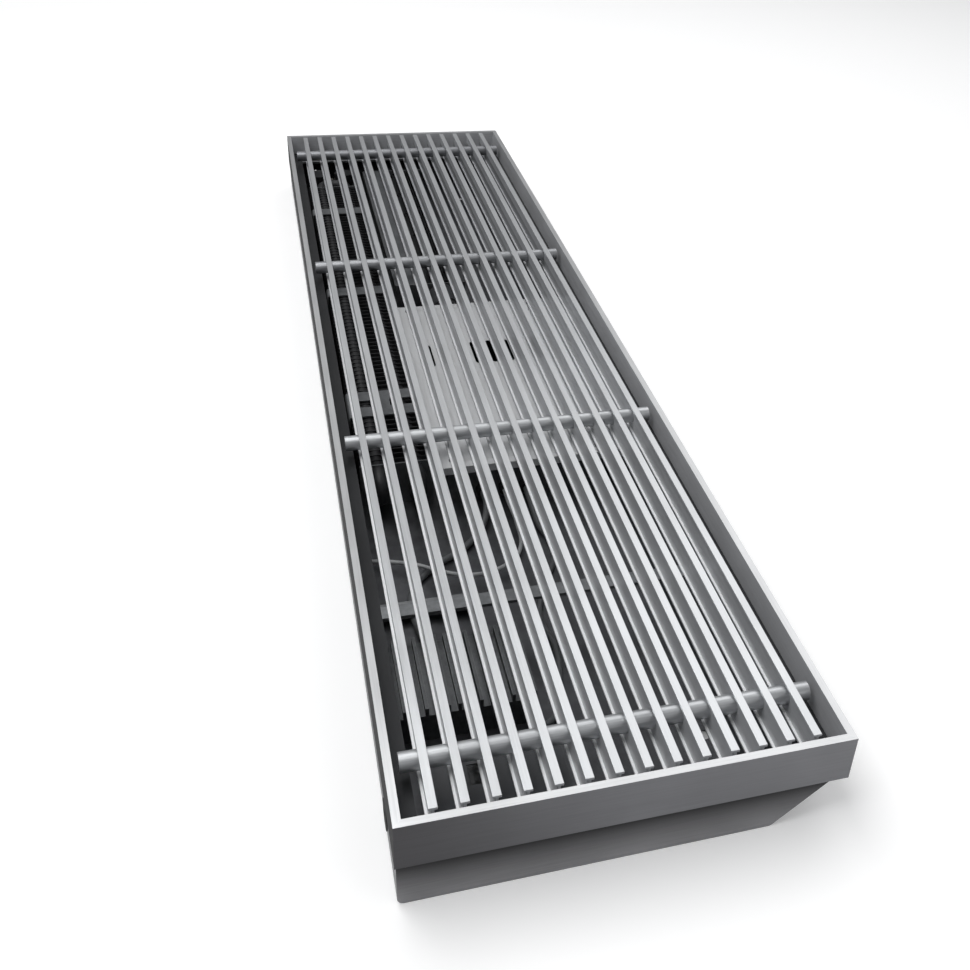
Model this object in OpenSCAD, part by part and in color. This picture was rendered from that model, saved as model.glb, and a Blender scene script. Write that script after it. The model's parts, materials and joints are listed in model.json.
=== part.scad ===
// Trench convector heater: a long shallow trough set in a floor, with a stainless frame, a lift-off
// grille of I-section bars, a finned coil along the left side and a cross-flow blower on the right.
// X runs along the length from the near end to the far end, +Y is the left side and Z is up.
// The origin is under the middle of the frame, on the face that the trough stands on.

/* [Overall size] */
// Length over the frame
overall_length = 1200; // [1150:10:1400]
// Width over the frame
overall_width = 305; // [300:1:330]
// Height of the frame rails
frame_height = 38; // [37.5:0.5:42]
// Depth of the trough below the frame
trough_depth = 36; // [35.5:0.5:40]

/* [Frame] */
// Thickness of a frame rail
rail_thickness = 5.5; // [5:0.25:7]
// Width of the ledge that carries the grille
ledge_width = 12; // [10:0.5:14]

/* [Trough] */
// Thickness of the folded sheet
sheet = 1.5; // [1.2:0.1:1.8]
// Set-back of the trough from the outer face of the frame
trough_inset = 1; // [0.5:0.25:1.5]
// Outer bend radius at the foot of the upright wall
bend_radius = 5; // [3:0.5:8]
// Width of the flange folded in under the frame
flange_width = 7.5; // [7.5:0.25:9]
// Distance of the sloping wall from the right side, at the frame
slope_top_distance = 12.2; // [12:0.2:14]
// Distance of the sloping wall from the right side, at the floor
slope_foot_distance = 51.8; // [46:0.2:56]
// Radius of the floor fixing holes
fixing_hole_radius = 4.5; // [3.5:0.25:5.5]
// Distance of the floor fixing holes from each end
fixing_end_distance = 85; // [80:1:88]
// Spacing of the floor fixing holes across the trough
fixing_spacing = 220; // [210:1:222]
// Radius of the pipe openings in the far end plate
pipe_opening_radius = 15; // [13:0.5:16]

/* [Grille] */
// Number of long bars
bar_count = 14; // [12:1:15]
// Height of a bar
bar_height = 25.5; // [24:0.5:26]
// Width of a bar's flanges
bar_width = 6; // [5:0.25:7]
// Thickness of a bar's flanges
bar_flange = 2; // [1.5:0.1:2]
// Thickness of a bar's web
bar_web = 2; // [1.5:0.1:2.5]
// Gap between a bar's end and the frame
bar_end_gap = 3.5; // [2:0.25:5]
// Gap between the grille and the frame at each side
grille_side_gap = 4.75; // [3:0.25:5.5]
// Diameter of the spacer tubes
tube_diameter = 13.5; // [12.5:0.1:13.5]
// Depth of the tie rods below the top of the grille
rod_depth = 10.5; // [9.5:0.25:12]
// Diameter of the tie rods
rod_diameter = 6; // [5:0.25:6.5]
// Number of tie rods
row_count = 4; // [3:1:5]
// Distance of the first and last rod from the ends of the frame
row_end_distance = 56; // [50:1:65]

/* [Coil] */
// Height of a fin
fin_height = 36; // [35.5:0.5:36.5]
// Width of a fin
fin_width = 66; // [62:1:67]
// Thickness of a fin
fin_thickness = 0.8; // [0.5:0.1:1]
// Distance from fin to fin
fin_pitch = 8; // [7:0.5:12]
// Height of the fins above the underside
coil_lift = 10; // [9:0.5:10.5]
// Outer diameter of the copper tubes
coil_tube_diameter = 15; // [12:0.5:15.5]
// Wall of the copper tubes
coil_tube_wall = 1; // [0.8:0.1:1.2]
// Spacing of the tubes across the coil
coil_spacing_across = 34; // [33:0.5:35]
// Spacing of the tubes up the coil
coil_spacing_up = 20; // [20:0.25:20.5]
// Distance of the first fin from the near end
coil_start = 405; // [400:1:430]
// Room for the valves between the last fin and the far end
valve_room = 130; // [128:1:150]

/* [Blower] */
// Radius of the blower wheel
wheel_radius = 20.5; // [19:0.5:21]
// Number of blades on the wheel
blade_count = 24; // [18:1:28]
// Number of wheel sections
section_count = 5; // [3:1:6]
// Gap between the coil's fins and the blower's outlet
outlet_gap = 12; // [11:0.5:13]
// Distance from the outlet's edge to the wheel's axis
outlet_length = 53; // [51:0.5:56]
// Height of the wheel's axis
wheel_height = 26.5; // [26:0.25:27]

/* [Control box and cover] */
// Distance of the cover's near edge from the near end
cover_start = 392; // [385:1:394]
// Length of the cover plate
cover_length = 315; // [310:1:320]
// Distance of the cover's left edge from the left side
cover_left = 93; // [92:0.5:94]
// Height of the cover's top face
cover_height = 44; // [43:0.5:46]
// Number of cooling slots in the cover
slot_count = 7; // [5:1:8]
// Length of a cooling slot
slot_length = 46; // [36:1:50]
// Width of a cooling slot
slot_width = 8; // [6:0.5:9]

/* [Near compartment] */
// Length of the terminal box along the trough
terminal_length = 66; // [60:1:70]
// Width of the terminal box
terminal_width = 92; // [86:1:96]
// Height of the terminal box with its lid
terminal_height = 33; // [30:0.5:36]
// Length of the power supply along the trough
supply_length = 72; // [66:1:74]
// Width of the power supply
supply_width = 104; // [96:1:110]
// Height of the power supply
supply_height = 32; // [28:0.5:34]

/* [Hidden] */

$fn = 48;
overrun = 1;

// Heights of the main faces
floor_top = sheet;
frame_bottom = trough_depth;
frame_top = trough_depth + frame_height;
ledge_top = frame_top - bar_height;

// Clear space inside the frame
opening_length = overall_length - 2 * rail_thickness;
opening_width = overall_width - 2 * rail_thickness;

// X of a distance from the near end, and Y of a distance from the left side
function along(distance) = distance - overall_length / 2;
function across(distance) = overall_width / 2 - distance;

// A flat profile drawn in Y and Z, run along X from the middle or from a given place
module run_along(length, start) {
    translate([start, 0, 0]) rotate([90, 0, 90]) linear_extrude(length) children();
}

// Round bar along X, along Y and upright, each from its start
module bar_x(start, length, radius) {
    translate(start) rotate([0, 90, 0]) cylinder(h = length, r = radius);
}
module bar_y(start, length, radius) {
    translate(start) rotate([-90, 0, 0]) cylinder(h = length, r = radius);
}
module bar_z(start, length, radius) {
    translate(start) cylinder(h = length, r = radius);
}

// Block between two opposite corners given in any order
module block(a, b) {
    low = [for (i = [0 : 2]) min(a[i], b[i])];
    high = [for (i = [0 : 2]) max(a[i], b[i])];
    translate(low) cube(high - low);
}

// Folded sheet: a path of corners with its thickness laid to the right, and the arc of a bend
arc_steps = 5;
function unit(v) = v / norm(v);
function right_of(v) = [v.y, -v.x];
function bend(a, b, c, radius) = let(
    u = unit(a - b),
    v = unit(c - b),
    half = acos(u * v) / 2,
    centre = b + unit(u + v) * radius / sin(half),
    first = b + u * radius / tan(half) - centre,
    last = b + v * radius / tan(half) - centre,
    turn = 180 - 2 * half,
    side = sign(first.x * last.y - first.y * last.x))
    [for (k = [0 : arc_steps]) let(w = side * turn * k / arc_steps)
        centre + [first.x * cos(w) - first.y * sin(w), first.x * sin(w) + first.y * cos(w)]];
function shifted(path, i, distance) = let(
    k = max(i, 1),
    m = min(i, len(path) - 2),
    before = right_of(unit(path[k] - path[k - 1])),
    after = right_of(unit(path[m + 1] - path[m])),
    n = unit(before + after))
    path[i] + n * distance / (n * after);
module sheet_profile(path, thickness) {
    back = [for (i = [len(path) - 1 : -1 : 0]) shifted(path, i, thickness)];
    polygon(concat(path, back));
}

// Trough, frame and ledges

trough_side = overall_width / 2 - trough_inset;
trough_length = overall_length - 2 * (trough_inset + sheet);
slope_top = -overall_width / 2 + slope_top_distance;
slope_foot = -overall_width / 2 + slope_foot_distance;
trough_path = [
    [trough_side - flange_width, frame_bottom],
    [trough_side, frame_bottom],
    [trough_side, 0],
    [slope_foot, 0],
    [slope_top, frame_bottom - sheet],
    [-trough_side, frame_bottom - sheet]];
fold_inner_radius = 0.5;
fold_radius = sheet + fold_inner_radius;

// Floor fixing holes, set out about the middle of the flat floor
fixing_across = 16;
fixing_middle = across(fixing_across) - fixing_spacing / 2;
module fixing_holes() {
    for (end = [-1, 1], side = [-1, 1])
        bar_z([end * (overall_length / 2 - fixing_end_distance),
            fixing_middle + side * fixing_spacing / 2, -overrun], sheet + 2 * overrun,
            fixing_hole_radius);
}

// Cable entry through the upright wall, beside the terminal box
entry_along = 55;
entry_height = 18;
entry_hole_radius = 8;

module trough() {
    color("#9a9c9e") difference() {
        run_along(trough_length, -trough_length / 2)
            sheet_profile(concat([trough_path[0]],
                bend(trough_path[0], trough_path[1], trough_path[2], fold_radius),
                bend(trough_path[1], trough_path[2], trough_path[3], bend_radius),
                bend(trough_path[2], trough_path[3], trough_path[4], bend_radius),
                [trough_path[4], trough_path[5]]), sheet);
        fixing_holes();
        bar_y([along(entry_along), trough_side - sheet - overrun, entry_height],
            sheet + 2 * overrun, entry_hole_radius);
    }
}

// End plate: the trough's outline closed, with a flange folded in under the short rail
end_flange_clearance = 0.5;
module end_plate_outline() {
    polygon(concat([[trough_side, frame_bottom]],
        bend([trough_side, frame_bottom], [trough_side, 0], [slope_foot, 0], bend_radius),
        bend([trough_side, 0], [slope_foot, 0], [slope_top, frame_bottom], bend_radius),
        [[slope_top, frame_bottom]]));
}
module end_plate() {
    outer = overall_length / 2 - trough_inset;
    run_along(sheet, -outer) end_plate_outline();
    block([-outer + sheet, trough_side - flange_width - end_flange_clearance, frame_bottom - sheet],
        [-outer + sheet + flange_width, slope_top + sheet + fold_radius, frame_bottom]);
}
module near_end_plate() {
    color("#8f9193") end_plate();
}

// Water connections, which the pipe openings line up with
coil_left_distance = 21;
coil_left = across(coil_left_distance);
coil_middle = coil_left - fin_width / 2;
coil_low = coil_lift + (fin_height - coil_spacing_up) / 2;
coil_high = coil_low + coil_spacing_up;
function coil_y(side) = coil_middle + side * coil_spacing_across / 2;

module far_end_plate() {
    color("#8f9193") difference() {
        mirror([1, 0, 0]) end_plate();
        for (side = [-1, 1])
            bar_x([overall_length / 2 - trough_inset - sheet - overrun, coil_y(side), coil_low],
                sheet + 2 * overrun, pipe_opening_radius);
    }
}

// Blind rivets that hold the end plates' side tabs, seen as low heads on the end faces
rivet_radius = 2.4;
rivet_head = 1;
module end_plate_rivets() {
    inner = overall_length / 2 - trough_inset - sheet;
    inset = sheet + 2 * rivet_radius;
    places = [[trough_side - inset, frame_bottom / 2], [trough_side - inset, inset],
        [slope_foot + inset, inset]];
    color("#a5a7a9") for (end = [-1, 1], place = places)
        translate([end * inner, place.x, place.y])
            rotate([0, -end * 90, 0]) cylinder(h = rivet_head, r = rivet_radius);
}

// Frame rails of flat bar, mitred at the corners
module long_rail(side) {
    outer = overall_width / 2;
    inner = outer - rail_thickness;
    half = overall_length / 2;
    translate([0, 0, frame_bottom]) linear_extrude(frame_height)
        polygon([[-half, side * outer], [half, side * outer],
            [half - rail_thickness, side * inner], [-half + rail_thickness, side * inner]]);
}
module short_rail(end) {
    outer = overall_length / 2;
    inner = outer - rail_thickness;
    half = overall_width / 2;
    translate([0, 0, frame_bottom]) linear_extrude(frame_height)
        polygon([[end * outer, -half], [end * outer, half],
            [end * inner, half - rail_thickness], [end * inner, -half + rail_thickness]]);
}
module frame_rail_left() {
    color("#b9bbbd") long_rail(1);
}
module frame_rail_right() {
    color("#b9bbbd") long_rail(-1);
}
module frame_rail_near() {
    color("#b9bbbd") short_rail(-1);
}
module frame_rail_far() {
    color("#b9bbbd") short_rail(1);
}

// Ledges: angles that stand on the trough's flanges and carry the grille
module ledge_profile(wall) {
    sheet_profile([[wall, frame_bottom], [wall, ledge_top], [wall - ledge_width, ledge_top]], -sheet);
}
module long_ledge() {
    run_along(opening_length, -opening_length / 2) ledge_profile(opening_width / 2);
}
module short_ledge() {
    length = opening_width - 2 * ledge_width;
    rotate([0, 0, 90]) run_along(length, -length / 2) ledge_profile(opening_length / 2);
}
module ledge_angle_left() {
    color("#a3a5a7") long_ledge();
}
module ledge_angle_right() {
    color("#a3a5a7") mirror([0, 1, 0]) long_ledge();
}
module ledge_angle_near() {
    color("#a3a5a7") short_ledge();
}
module ledge_angle_far() {
    color("#a3a5a7") mirror([1, 0, 0]) short_ledge();
}

// Cross braces between the ledges, which keep the walls apart and carry the bars in between
brace_width = 13;
brace_thickness = 3;
near_brace_distance = 205;
far_brace_distance = 26;
module cross_brace(start) {
    half = opening_width / 2 - ledge_width;
    block([start, -half, ledge_top - brace_thickness], [start + brace_width, half, ledge_top]);
}
module cross_brace_near() {
    color("#8c8e90") cross_brace(along(near_brace_distance));
}
module cross_brace_far() {
    color("#8c8e90") cross_brace(overall_length / 2 - far_brace_distance - brace_width);
}

// Welded studs on the floor, each with its nut, and the hole that it takes in a foot
stud_radius = 2;
stud_hole_clearance = 0.15;
stud_tip = 1;
stud_nut_across_corners = 8.1;
stud_nut_height = 3.2;
module stud_hole(x, y, seat) {
    bar_z([x, y, floor_top - overrun], seat - floor_top + 2 * overrun,
        stud_radius + stud_hole_clearance);
}
module stud_and_nut(x, y, seat) {
    bar_z([x, y, floor_top], seat - floor_top + stud_nut_height + stud_tip, stud_radius);
    translate([x, y, seat]) cylinder(h = stud_nut_height, r = stud_nut_across_corners / 2, $fn = 6);
}

// Rubber grommet of the cable entry
grommet_lip = 2.5;
grommet_lip_thickness = 0.8;
cable_radius = 5;
module cable_grommet() {
    wall = trough_side - sheet;
    color("#2a2a2b") difference() {
        union() {
            bar_y([along(entry_along), wall - 2 * grommet_lip_thickness, entry_height],
                2 * grommet_lip_thickness, entry_hole_radius + grommet_lip);
            bar_y([along(entry_along), wall - overrun, entry_height],
                sheet + overrun, entry_hole_radius);
            bar_y([along(entry_along), trough_side, entry_height],
                grommet_lip_thickness, entry_hole_radius + grommet_lip);
        }
        bar_y([along(entry_along), wall - 2 * grommet_lip_thickness - overrun, entry_height],
            sheet + 4 * grommet_lip_thickness + 2 * overrun, cable_radius);
    }
}

// Grille

bar_pitch = opening_width / (bar_count + 1);
bar_length = opening_length - 2 * bar_end_gap;
bar_bore_clearance = 0.1;
rod_height = frame_top - rod_depth;
grille_edge = opening_width / 2 - grille_side_gap;
function bar_place(i) = opening_width / 2 - (i + 1) * bar_pitch;
function row_place(j) = -overall_length / 2 + row_end_distance
    + j * (overall_length - 2 * row_end_distance) / (row_count - 1);

// One I-section bar, bored for the tie rods
module bar_profile() {
    translate([-bar_width / 2, ledge_top]) square([bar_width, bar_flange]);
    translate([-bar_width / 2, frame_top - bar_flange]) square([bar_width, bar_flange]);
    translate([-bar_web / 2, ledge_top]) square([bar_web, bar_height]);
}
module grille_bars() {
    color("#d2d3d4") for (i = [0 : bar_count - 1])
        translate([0, bar_place(i), 0]) difference() {
            run_along(bar_length, -bar_length / 2) bar_profile();
            for (j = [0 : row_count - 1])
                bar_y([row_place(j), -bar_web, rod_height], 2 * bar_web,
                    rod_diameter / 2 + bar_bore_clearance);
        }
}

// Round nut with a hexagon socket, sunk in the end of each end spacer
nut_radius = 5;
nut_length = 5;
nut_cover = 1.5;
socket_radius = 2.3;
socket_depth = 1;
nut_clearance = 0.15;
rod_half = grille_edge - nut_cover;
module tie_rods() {
    color("#8a8b8d") for (j = [0 : row_count - 1])
        bar_y([row_place(j), -rod_half, rod_height], 2 * rod_half, rod_diameter / 2);
}
module rod_end_nuts() {
    color("#77797b") for (j = [0 : row_count - 1], side = [-1, 1])
        translate([row_place(j), side * grille_edge, rod_height])
            rotate([side * 90, 0, 0]) difference() {
                cylinder(h = nut_length, r = nut_radius);
                translate([0, 0, nut_cover]) cylinder(h = nut_length, r = rod_diameter / 2);
                translate([0, 0, -overrun]) cylinder(h = overrun + socket_depth, r = socket_radius,
                    $fn = 6);
            }
}

// Spacer tubes between the bars, and the counterbored ones against the frame
tube_clearance = 0.2;
module spacer(length) {
    difference() {
        cylinder(h = length, r = tube_diameter / 2);
        translate([0, 0, -overrun])
            cylinder(h = length + 2 * overrun, r = rod_diameter / 2 + tube_clearance);
    }
}
module spacer_tubes() {
    color("#b4b6b8") for (i = [0 : bar_count - 2], j = [0 : row_count - 1])
        translate([row_place(j), bar_place(i) - bar_web / 2, rod_height])
            rotate([90, 0, 0]) spacer(bar_pitch - bar_web);
}
module end_spacers() {
    length = grille_edge - bar_place(0) - bar_web / 2;
    color("#b4b6b8") for (j = [0 : row_count - 1], side = [-1, 1])
        translate([row_place(j), side * grille_edge, rod_height])
            rotate([side * 90, 0, 0]) difference() {
                spacer(length);
                translate([0, 0, -overrun])
                    cylinder(h = nut_length + overrun, r = nut_radius + nut_clearance);
            }
}

// Coil: fins on copper tubes, with return bends, end plates and straps

coil_near = along(coil_start);
coil_far = overall_length / 2 - valve_room;
fin_clearance = 0.05;
fin_count = floor((coil_far - coil_near) / fin_pitch);
module tube_bores(start, length, radius) {
    for (side = [-1, 1], height = [coil_low, coil_high])
        bar_x([start - overrun, coil_y(side), height], length + 2 * overrun, radius);
}
module coil_fins() {
    color("#3b3c3e") for (i = [1 : fin_count - 1]) let(place = coil_near + i * fin_pitch)
        difference() {
            block([place, coil_left, coil_lift],
                [place + fin_thickness, coil_left - fin_width, coil_lift + fin_height]);
            tube_bores(place, fin_thickness, coil_tube_diameter / 2 + fin_clearance);
        }
}

// The lower tubes run on to the valves
bend_stub = 8;
tail_stub = 28;
tube_near = coil_near - bend_stub;
tube_far = coil_far + bend_stub;
valve_start = coil_far + tail_stub;
module coil_tubes() {
    color("#46474a") for (side = [-1, 1], height = [coil_low, coil_high])
        difference() {
            end = height == coil_low ? valve_start : tube_far;
            bar_x([tube_near, coil_y(side), height], end - tube_near, coil_tube_diameter / 2);
            bar_x([tube_near - overrun, coil_y(side), height], end - tube_near + 2 * overrun,
                coil_tube_diameter / 2 - coil_tube_wall);
        }
}

// Half-turn bend that bulges towards +X, its two ends lying apart along Y
module half_bend(radius) {
    rotate([0, 0, -90]) rotate_extrude(angle = 180) translate([radius, 0]) difference() {
        circle(r = coil_tube_diameter / 2);
        circle(r = coil_tube_diameter / 2 - coil_tube_wall);
    }
}
module return_bends() {
    color("#46474a") {
        for (side = [-1, 1])
            translate([tube_near, coil_y(side), (coil_low + coil_high) / 2])
                rotate([90, 0, 0]) mirror([1, 0, 0]) half_bend(coil_spacing_up / 2);
        translate([tube_far, coil_middle, coil_high]) half_bend(coil_spacing_across / 2);
    }
}

// End plates of the coil, which stand on the trough's floor
coil_plate_thickness = 1.5;
module coil_end_plates() {
    color("#7d7f81") for (place = [coil_near, coil_far - coil_plate_thickness])
        difference() {
            block([place, coil_left, floor_top],
                [place + coil_plate_thickness, coil_left - fin_width, coil_lift + fin_height]);
            tube_bores(place, coil_plate_thickness, coil_tube_diameter / 2 + fin_clearance);
        }
}

// Straps that bridge the coil, each held by a stud and nut at its left foot
strap_thickness = 1.5;
strap_gap = 0.5;
strap_width = 18;
strap_foot_left = 10;
strap_foot_right = 7;
strap_bend = 2;
strap_top = coil_lift + fin_height + strap_gap;
strap_left = coil_left + strap_gap;
strap_right = coil_left - fin_width - strap_gap;
strap_shares = [0.515, 0.865];
wide_strap_width = 44;
wide_strap_start = 484;
strap_slot_width = 12;
strap_slot_length = 22;
module coil_strap(start, width) {
    run_along(width, start) sheet_profile(concat(
        [[strap_left + strap_foot_left, floor_top], [strap_left, floor_top]],
        bend([strap_left, floor_top], [strap_left, strap_top], [strap_right, strap_top], strap_bend),
        bend([strap_left, strap_top], [strap_right, strap_top], [strap_right, floor_top], strap_bend),
        [[strap_right, floor_top], [strap_right - strap_foot_right, floor_top]]), strap_thickness);
}
strap_seat = floor_top + strap_thickness;
strap_stud_y = strap_left + (strap_foot_left + strap_thickness) / 2;
wide_strap_stud_inset = 10;
function strap_middle(share) = coil_near + share * (coil_far - coil_near);
wide_strap_studs = [along(wide_strap_start) + wide_strap_stud_inset,
    along(wide_strap_start) + wide_strap_width - wide_strap_stud_inset];
module coil_straps() {
    color("#a9abad") for (share = strap_shares) difference() {
        coil_strap(strap_middle(share) - strap_width / 2, strap_width);
        stud_hole(strap_middle(share), strap_stud_y, strap_seat);
    }
}
module slotted_strap() {
    color("#8e9092") difference() {
        coil_strap(along(wide_strap_start), wide_strap_width);
        for (x = wide_strap_studs) stud_hole(x, strap_stud_y, strap_seat);
        for (side = [-1, 1])
            block([along(wide_strap_start) + (wide_strap_width - strap_slot_width) / 2,
                    coil_y(side) - strap_slot_length / 2, strap_top - overrun],
                [along(wide_strap_start) + (wide_strap_width + strap_slot_width) / 2,
                    coil_y(side) + strap_slot_length / 2, strap_top + strap_thickness + overrun]);
    }
}

// Valves on the lower tubes, each drawn from the end of its tube, with its neck upright
valve_body_radius = 11;
valve_body_length = 62;
valve_socket_depth = 10;
valve_tail_radius = 10.4;
valve_tail_length = 16;
valve_bore_radius = 6;
neck_distance = 32;
neck_radius = 9;
neck_height = 18;
module valve_body() {
    difference() {
        union() {
            bar_x([0, 0, 0], valve_body_length, valve_body_radius);
            bar_x([valve_body_length, 0, 0], valve_tail_length, valve_tail_radius);
            bar_z([neck_distance, 0, 0], neck_height, neck_radius);
        }
        bar_x([-overrun, 0, 0], valve_socket_depth + overrun,
            coil_tube_diameter / 2 + fin_clearance);
        bar_x([0, 0, 0], valve_body_length + valve_tail_length + overrun, valve_bore_radius);
    }
}
module at_valve(side) {
    translate([valve_start - valve_socket_depth, coil_y(side), coil_low]) children();
}

// Hexagon union nuts that draw the tubes into the valves
union_across_corners = 28;
union_length = 14;
union_overlap = 5;
flat_up = 30;
module union_nuts() {
    color("#c0a263") for (side = [-1, 1]) at_valve(side) difference() {
        translate([union_overlap - union_length, 0, 0]) rotate([0, 90, 0]) rotate(flat_up)
            cylinder(h = union_length, r = union_across_corners / 2, $fn = 6);
        bar_x([-union_length, 0, 0], 2 * union_length, coil_tube_diameter / 2 + fin_clearance);
        bar_x([0, 0, 0], union_length, valve_body_radius + fin_clearance);
    }
}

// Regulating valve with the pin that its cap presses down
pin_radius = 2;
pin_clearance = 0.05;
pin_foot = 9;
pin_travel = 3;
cap_radius = 14;
cap_height = 13;
cap_foot = 15;
cap_cavity = 8;
cap_clearance = 0.3;
flute_count = 24;
flute_radius = 0.8;
module regulating_valve() {
    color("#b9b4a4") at_valve(1) difference() {
        valve_body();
        bar_z([neck_distance, 0, pin_foot - pin_travel - overrun], neck_height,
            pin_radius + pin_clearance);
    }
}
module valve_pin() {
    color("#c9cacb") at_valve(1)
        bar_z([neck_distance, 0, pin_foot], cap_foot + cap_cavity - pin_foot, pin_radius);
}
module valve_cap() {
    color("#3f4042") at_valve(1) translate([neck_distance, 0, cap_foot]) difference() {
        cylinder(h = cap_height, r = cap_radius);
        translate([0, 0, -overrun])
            cylinder(h = cap_cavity + overrun, r = neck_radius + cap_clearance);
        for (i = [0 : flute_count - 1]) rotate([0, 0, i * 360 / flute_count])
            translate([cap_radius, 0, -overrun])
                cylinder(h = cap_height + 2 * overrun, r = flute_radius, $fn = 16);
    }
}

// Lockshield valve under a plain screwed cap
lock_cap_radius = 12;
lock_cap_height = 16;
lock_cap_seat = 0.1;
module lockshield_valve() {
    color("#b9b4a4") at_valve(-1) valve_body();
}
module lockshield_cap() {
    color("#3f4042") at_valve(-1) translate([neck_distance, 0, cap_foot - pin_travel])
        difference() {
            cylinder(h = lock_cap_height, r = lock_cap_radius);
            translate([0, 0, -overrun])
                cylinder(h = neck_height - cap_foot + pin_travel + overrun,
                    r = neck_radius + lock_cap_seat);
        }
}

// Air vent on the crown of the far return bend, and its slotted screw
vent_radius = 4.5;
vent_length = 8;
vent_screw_radius = 2;
vent_screw_depth = 6;
vent_head_radius = 3.5;
vent_head_length = 3;
vent_head_gap = 0.3;
vent_slot = 0.9;
vent_slot_depth = 1.2;
vent_start = tube_far + coil_spacing_across / 2 + coil_tube_diameter / 2;
module air_vent() {
    color("#b9b4a4") difference() {
        bar_x([vent_start - coil_tube_wall, coil_middle, coil_high], vent_length + coil_tube_wall,
            vent_radius);
        translate([tube_far, coil_middle, coil_high]) rotate_extrude()
            translate([coil_spacing_across / 2, 0]) circle(r = coil_tube_diameter / 2);
        bar_x([vent_start + vent_length - vent_screw_depth - overrun, coil_middle, coil_high],
            vent_screw_depth + 2 * overrun, vent_screw_radius + pin_clearance);
    }
}
module vent_screw() {
    face = vent_start + vent_length;
    color("#c9cacb") difference() {
        union() {
            bar_x([face - vent_screw_depth, coil_middle, coil_high],
                vent_screw_depth + vent_head_gap, vent_screw_radius);
            bar_x([face + vent_head_gap, coil_middle, coil_high], vent_head_length,
                vent_head_radius);
        }
        block([face + vent_head_gap + vent_head_length - vent_slot_depth,
                coil_middle - vent_slot / 2, coil_high - vent_head_radius - overrun],
            [face + vent_head_gap + vent_head_length + overrun,
                coil_middle + vent_slot / 2, coil_high + vent_head_radius + overrun]);
    }
}

// Blower: a cross-flow wheel between two brackets, over a curved guide

outlet_distance = coil_left_distance + fin_width + outlet_gap;
wheel_y = across(outlet_distance + outlet_length);
cover_end = along(cover_start + cover_length);
motor_radius = 20;
motor_length = 40;
bell_length = 5;
bell_radius = 17;
bracket_thickness = 1.5;
bracket_gap = 6;
bracket_margin = 3;
motor_bracket_place = cover_end + bracket_gap + motor_length + bell_length;
bearing_distance = 77;
bearing_bracket_place = overall_length / 2 - bearing_distance;
end_play = 5;
wheel_start = motor_bracket_place + bracket_thickness + end_play;
wheel_end = bearing_bracket_place - end_play;
wheel_length = wheel_end - wheel_start;
disc_thickness = 1.5;
blade_thickness = 1;
blade_depth = 4.5;
blade_sweep_angle = 12;
rim_cover = 0.4;
bow_share = 0.3;
shaft_radius = 3;
shaft_clearance = 0.05;
damper_radius = 9;
damper_length = 12;

// Blade section: a bowed strip from the rim inwards
function rim_point(radius, angle) = radius * [cos(angle), sin(angle)];
module blade_section() {
    outer = wheel_radius - rim_cover;
    inner = outer - blade_depth;
    middle = (inner + outer) / 2;
    thick = atan(blade_thickness / wheel_radius);
    bow = blade_sweep_angle * bow_share;
    polygon([rim_point(outer, 0), rim_point(middle, bow), rim_point(inner, blade_sweep_angle),
        rim_point(inner, blade_sweep_angle + thick), rim_point(middle, bow + thick),
        rim_point(outer, thick)]);
}
module wheel_disc(place, hole) {
    difference() {
        bar_x([place, 0, 0], disc_thickness, wheel_radius);
        bar_x([place - overrun, 0, 0], disc_thickness + 2 * overrun, hole);
    }
}
module blower_wheel() {
    color("#2f3032") translate([0, wheel_y, wheel_height]) {
        for (i = [0 : blade_count - 1])
            run_along(wheel_length, wheel_start)
                rotate(i * 360 / blade_count) blade_section();
        for (k = [1 : section_count - 1])
            wheel_disc(wheel_start + k * (wheel_length - disc_thickness) / section_count,
                wheel_radius - blade_depth - 3 * rim_cover);
        wheel_disc(wheel_start, damper_radius);
        wheel_disc(wheel_end - disc_thickness, shaft_radius);
    }
}

// Rubber hub in the near disc, and the two stub shafts
shaft_in_motor = 22;
shaft_past_bearing = 4;
shaft_in_wheel = 4;
bush_length = 10;
module wheel_damper() {
    color("#1f1f20") translate([0, wheel_y, wheel_height]) difference() {
        bar_x([wheel_start - disc_thickness, 0, 0], damper_length, damper_radius);
        bar_x([wheel_start - disc_thickness - overrun, 0, 0], damper_length + 2 * overrun,
            shaft_radius);
    }
}
module wheel_shafts() {
    near_start = motor_bracket_place - shaft_in_motor;
    far_start = wheel_end - shaft_in_wheel;
    color("#c2c4c6") translate([0, wheel_y, wheel_height]) {
        bar_x([near_start, 0, 0], wheel_start + damper_length - disc_thickness - near_start,
            shaft_radius);
        bar_x([far_start, 0, 0],
            bearing_bracket_place + bush_length / 2 + shaft_past_bearing - far_start, shaft_radius);
    }
}

// Curved guide under the wheel, which lies on the floor and leads the air to the coil
guide_thickness = 1.2;
guide_radius = wheel_height - floor_top - guide_thickness;
guide_end_angle = 25;
guide_steps = 14;
module blower_guide() {
    arc = [for (k = [0 : guide_steps]) let(w = -90 - (90 + guide_end_angle) * k / guide_steps)
        [wheel_y, wheel_height] + (guide_radius + guide_thickness) * [cos(w), sin(w)]];
    color("#6f7173") run_along(wheel_length + 2 * end_play, wheel_start - end_play)
        sheet_profile(concat([[across(outlet_distance), floor_top]], arc), guide_thickness);
}

// Tongue over the outlet, folded down towards the wheel
tongue_top_gap = 1.5;
tongue_lip = 7;
tongue_clearance = 6;
tongue_reach_share = 0.6;
tongue_height = ledge_top - brace_thickness - tongue_top_gap;
module blower_tongue() {
    lip_y = wheel_y + wheel_radius * tongue_reach_share + tongue_clearance;
    left = across(outlet_distance);
    color("#6f7173") run_along(wheel_length + 2 * end_play, wheel_start - end_play)
        sheet_profile([[left, tongue_height - tongue_lip], [left, tongue_height],
            [lip_y + tongue_lip, tongue_height], [lip_y + tongue_lip / 2, tongue_height - tongue_lip]],
            guide_thickness);
}

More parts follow.
